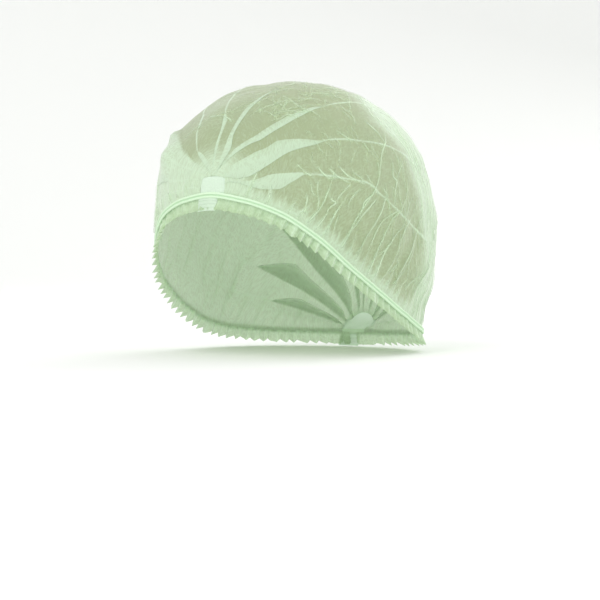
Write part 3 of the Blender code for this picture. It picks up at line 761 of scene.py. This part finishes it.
# %% Spunbond cloth
def spunbond(name, single, several, sheer, dense_alpha, gain=1.0, speckle=1.0, fibre_depth=0.05):
    """Layers and creases are read from the mesh; fibres and bond dots follow the cloth's own map."""
    made = bpy.data.materials.new(name)
    made.use_nodes = True
    tree = made.node_tree
    tree.nodes.clear()
    layers = node(tree, "ShaderNodeAttribute", {"attribute_name": "layers"}).outputs["Fac"]
    crease = node(tree, "ShaderNodeAttribute", {"attribute_name": "crease"}).outputs["Fac"]
    flat = node(tree, "ShaderNodeUVMap", {"uv_map": "cloth"}).outputs["UV"]
    millimetres = node(tree, "ShaderNodeVectorMath", {"operation": "MULTIPLY"}, i0=flat, i1=(1000, 1000, 1000)).outputs[0]
    fibre_a = node(tree, "ShaderNodeMapping", Vector=millimetres, Rotation=(0, 0, 0.25), Scale=(0.26, 0.70, 1)).outputs[0]
    fibre_b = node(tree, "ShaderNodeMapping", Vector=millimetres, Rotation=(0, 0, -0.3), Scale=(0.66, 0.24, 1)).outputs[0]
    first = node(tree, "ShaderNodeTexNoise", Vector=fibre_a, Scale=1.0, Detail=3.0).outputs[0]
    second = node(tree, "ShaderNodeTexNoise", Vector=fibre_b, Scale=1.0, Detail=3.0).outputs[0]
    fibres = node(tree, "ShaderNodeMath", {"operation": "MAXIMUM"}, i0=first, i1=second).outputs[0]
    cloud = node(tree, "ShaderNodeTexNoise", Vector=millimetres, Scale=0.12, Detail=2.0).outputs[0]
    dots = node(tree, "ShaderNodeTexVoronoi", {"feature": "F1"}, Vector=millimetres, Scale=0.62, Randomness=0.25).outputs["Distance"]
    dot = node(tree, "ShaderNodeMapRange", Value=dots, From_Min=0.15, From_Max=0.4, To_Min=1.0, To_Max=0.0).outputs[0]
    thick = node(tree, "ShaderNodeMath", {"operation": "MULTIPLY_ADD", "use_clamp": True}, i0=crease, i1=gain, i2=layers).outputs[0]
    mottle = node(tree, "ShaderNodeMapRange", Value=fibres, From_Min=0.44, From_Max=0.70, To_Min=-0.2 * speckle, To_Max=0.26 * speckle).outputs[0]
    mottled = node(tree, "ShaderNodeMath", {"operation": "ADD", "use_clamp": True}, i0=thick, i1=mottle).outputs[0]
    tint = node(tree, "ShaderNodeMix", {"data_type": "RGBA"}, Factor=mottled, A=colour(single), B=colour(several)).outputs["Result"]
    alpha = node(tree, "ShaderNodeMapRange", Value=mottled, From_Min=0.0, From_Max=1.0, To_Min=sheer, To_Max=dense_alpha).outputs[0]
    under = node(tree, "ShaderNodeAttribute", {"attribute_name": "under"}).outputs["Fac"]
    kept = node(tree, "ShaderNodeMath", {"operation": "MULTIPLY_ADD", "use_clamp": True}, i0=under, i1=-0.8, i2=1.0).outputs[0]
    alpha = node(tree, "ShaderNodeMath", {"operation": "MULTIPLY"}, i0=alpha, i1=kept).outputs[0]
    weave = node(tree, "ShaderNodeMath", {"operation": "MULTIPLY_ADD"}, i0=dot, i1=-0.5, i2=fibres).outputs[0]
    rough = node(tree, "ShaderNodeMath", {"operation": "MULTIPLY_ADD"}, i0=cloud, i1=0.8, i2=weave).outputs[0]
    bump = node(tree, "ShaderNodeBump", Height=rough, Strength=0.5, Distance=fibre_depth * 4 * MM).outputs[0]
    skin = node(tree, "ShaderNodeBsdfPrincipled", Base_Color=tint, Roughness=0.72, Normal=bump, Alpha=alpha,
                Sheen_Weight=0.9, Sheen_Roughness=0.45, Specular_IOR_Level=0.35)
    glow = node(tree, "ShaderNodeBsdfTranslucent", Color=tint, Normal=bump)
    clear = node(tree, "ShaderNodeBsdfTransparent")
    lit = node(tree, "ShaderNodeMixShader", Fac=alpha, i1=clear.outputs[0], i2=glow.outputs[0])
    share = node(tree, "ShaderNodeMapRange", Value=thick, From_Min=0.0, From_Max=1.0, To_Min=0.4, To_Max=0.22).outputs[0]
    mixed = node(tree, "ShaderNodeMixShader", Fac=share, i1=skin.outputs[0], i2=lit.outputs[0])
    node(tree, "ShaderNodeOutputMaterial", Surface=mixed.outputs[0])
    return made


crown_finish = spunbond("spunbond_crown", "#B2BC97", "#D0E4CA", 0.84, 0.97)
ridge_finish = spunbond("creased_spunbond", "#CCE0BF", "#DCF0D4", 0.0, 0.9, gain=1.0, speckle=0.1)
frill_finish = spunbond("spunbond_frill", "#BAD2A8", "#D8EED2", 0.86, 0.97)
weld_finish = spunbond("welded_spunbond", "#CFE5CD", "#DAECDA", 0.98, 1.0)
tail_finish = spunbond("folded_spunbond", "#CDE6CA", "#D8EBD7", 0.96, 1.0)


# %% Elastic casing
def casing():
    made = bpy.data.materials.new("elastic_casing")
    made.use_nodes = True
    tree = made.node_tree
    tree.nodes.clear()
    place = node(tree, "ShaderNodeTexCoord").outputs["Object"]
    grain = node(tree, "ShaderNodeTexNoise", Vector=place, Scale=900.0, Detail=3.0).outputs[0]
    groove = node(tree, "ShaderNodeAttribute", {"attribute_name": "groove"}).outputs["Fac"]
    pale = node(tree, "ShaderNodeMix", {"data_type": "RGBA"}, Factor=grain, A=colour("#CAE6C4"), B=colour("#D8EED2")).outputs["Result"]
    # Painted shade: the groove between the strands is mixed towards a darker green.
    tint = node(tree, "ShaderNodeMix", {"data_type": "RGBA"}, Factor=groove, A=pale, B=colour("#B0D3AA")).outputs["Result"]
    bump = node(tree, "ShaderNodeBump", Height=grain, Strength=0.3, Distance=0.15 * MM).outputs[0]
    skin = node(tree, "ShaderNodeBsdfPrincipled", Base_Color=tint, Roughness=0.55, Normal=bump)
    node(tree, "ShaderNodeOutputMaterial", Surface=skin.outputs[0])
    return made


for piece, finish in ((crown, crown_finish), (ridges, ridge_finish),
                      (frill_left, frill_finish), (frill_right, frill_finish),
                      (front_weld, weld_finish), (back_weld, weld_finish), (front_tail, tail_finish),
                      (back_tail, tail_finish), (elastic, casing())):
    piece.data.materials.append(finish)

# %% [markdown]
# ## Tie every piece to its solid

# %% Ride and replace
for piece, nodes, slot in ((crown, ["crown"], "crown_cloth"), (frill_left, ["hem_frill_left"], "frill_cloth"),
                           (frill_right, ["hem_frill_right"], "frill_cloth"),
                           (elastic, ["elastic_upper", "elastic_lower"], "elastic"),
                           (front_weld, ["front_weld"], "welded_cloth"), (back_weld, ["back_weld"], "welded_cloth"),
                           (front_tail, ["front_tail"], "tail_cloth"), (back_tail, ["back_tail"], "tail_cloth")):
    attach(piece, "root")
    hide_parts(*nodes)
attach(ridges, "root")

# %% [markdown]
# ## Floor, light and camera
# A pale floor that curves up all round gives an even white ground from any side. Large soft lights
# keep the shadows faint, as in a catalogue picture.

# %% Floor
FLOOR = CAD_BOX[0][2] - 0.5 * MM
spread = np.linspace(-3.2, 3.2, 81)
floor_x, floor_y = np.meshgrid(spread, spread, indexing="ij")
lift = 2.6 * ease(np.hypot(floor_x, floor_y), 1.4, 3.8) ** 1.5
floor = grid_piece("floor", np.stack([floor_y, floor_x, FLOOR + lift], -1)[:, ::-1])
paper = bpy.data.materials.new("paper_floor")
paper.use_nodes = True
surface = paper.node_tree.nodes["Principled BSDF"]
surface.inputs["Base Color"].default_value = colour("#F4F5F3")
surface.inputs["Roughness"].default_value = 0.9
floor.data.materials.append(paper)
floor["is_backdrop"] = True

world = bpy.data.worlds.new("studio")
world.use_nodes = True
world.node_tree.nodes["Background"].inputs["Color"].default_value = (1, 1, 1, 1)
world.node_tree.nodes["Background"].inputs["Strength"].default_value = 0.85
bpy.context.scene.world = world
bpy.context.scene.view_settings.view_transform = "Standard"

# %% Camera
AZIMUTH, ELEVATION, DISTANCE, PIXEL = np.radians(30), np.radians(2), 1.6, 0.64 * MM
back = np.array([np.sin(AZIMUTH) * np.cos(ELEVATION), -np.cos(AZIMUTH) * np.cos(ELEVATION), np.sin(ELEVATION)])
sideways = np.array([np.cos(AZIMUTH), np.sin(AZIMUTH), 0])
upward = np.cross(back, sideways)
aim = np.array([0, 0, -0.083]) + sideways * 3 * PIXEL - upward * 80.6 * PIXEL


def turned(location, target):
    """Rotation that points a camera or a light from one place at another."""
    from mathutils import Vector
    return (Vector(target) - Vector(location)).to_track_quat("-Z", "Y").to_euler()


lens = bpy.data.cameras.new("camera")
lens.lens, lens.sensor_width = 150, 36
camera = bpy.data.objects.new("camera", lens)
camera.location = aim + back * DISTANCE
camera.rotation_euler = turned(camera.location, aim)
bpy.context.scene.collection.objects.link(camera)
bpy.context.scene.camera = camera

# %% Lights
for name, way, size, power in (("key", back * 1.2 - sideways * 0.9 + upward * 1.3, 1.2, 12),
                               ("fill", back * 1.2 + sideways * 1.5 + upward * 0.4, 1.6, 7),
                               ("rim", -back * 1.2 + sideways * 0.9 + upward * 1.0, 1.2, 11)):
    lamp = bpy.data.lights.new(name, "AREA")
    lamp.energy, lamp.size = power, size
    light = bpy.data.objects.new(name, lamp)
    light.location = np.array([0, 0, -0.08]) + way
    light.rotation_euler = turned(light.location, (0, 0, -0.08))
    bpy.context.scene.collection.objects.link(light)

# %% Finish
size = {"cad_box": CAD_BOX, "visual_box": np.array(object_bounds(), float).tolist()}
print("box of the dressed part:", np.round(size["visual_box"], 4).tolist())
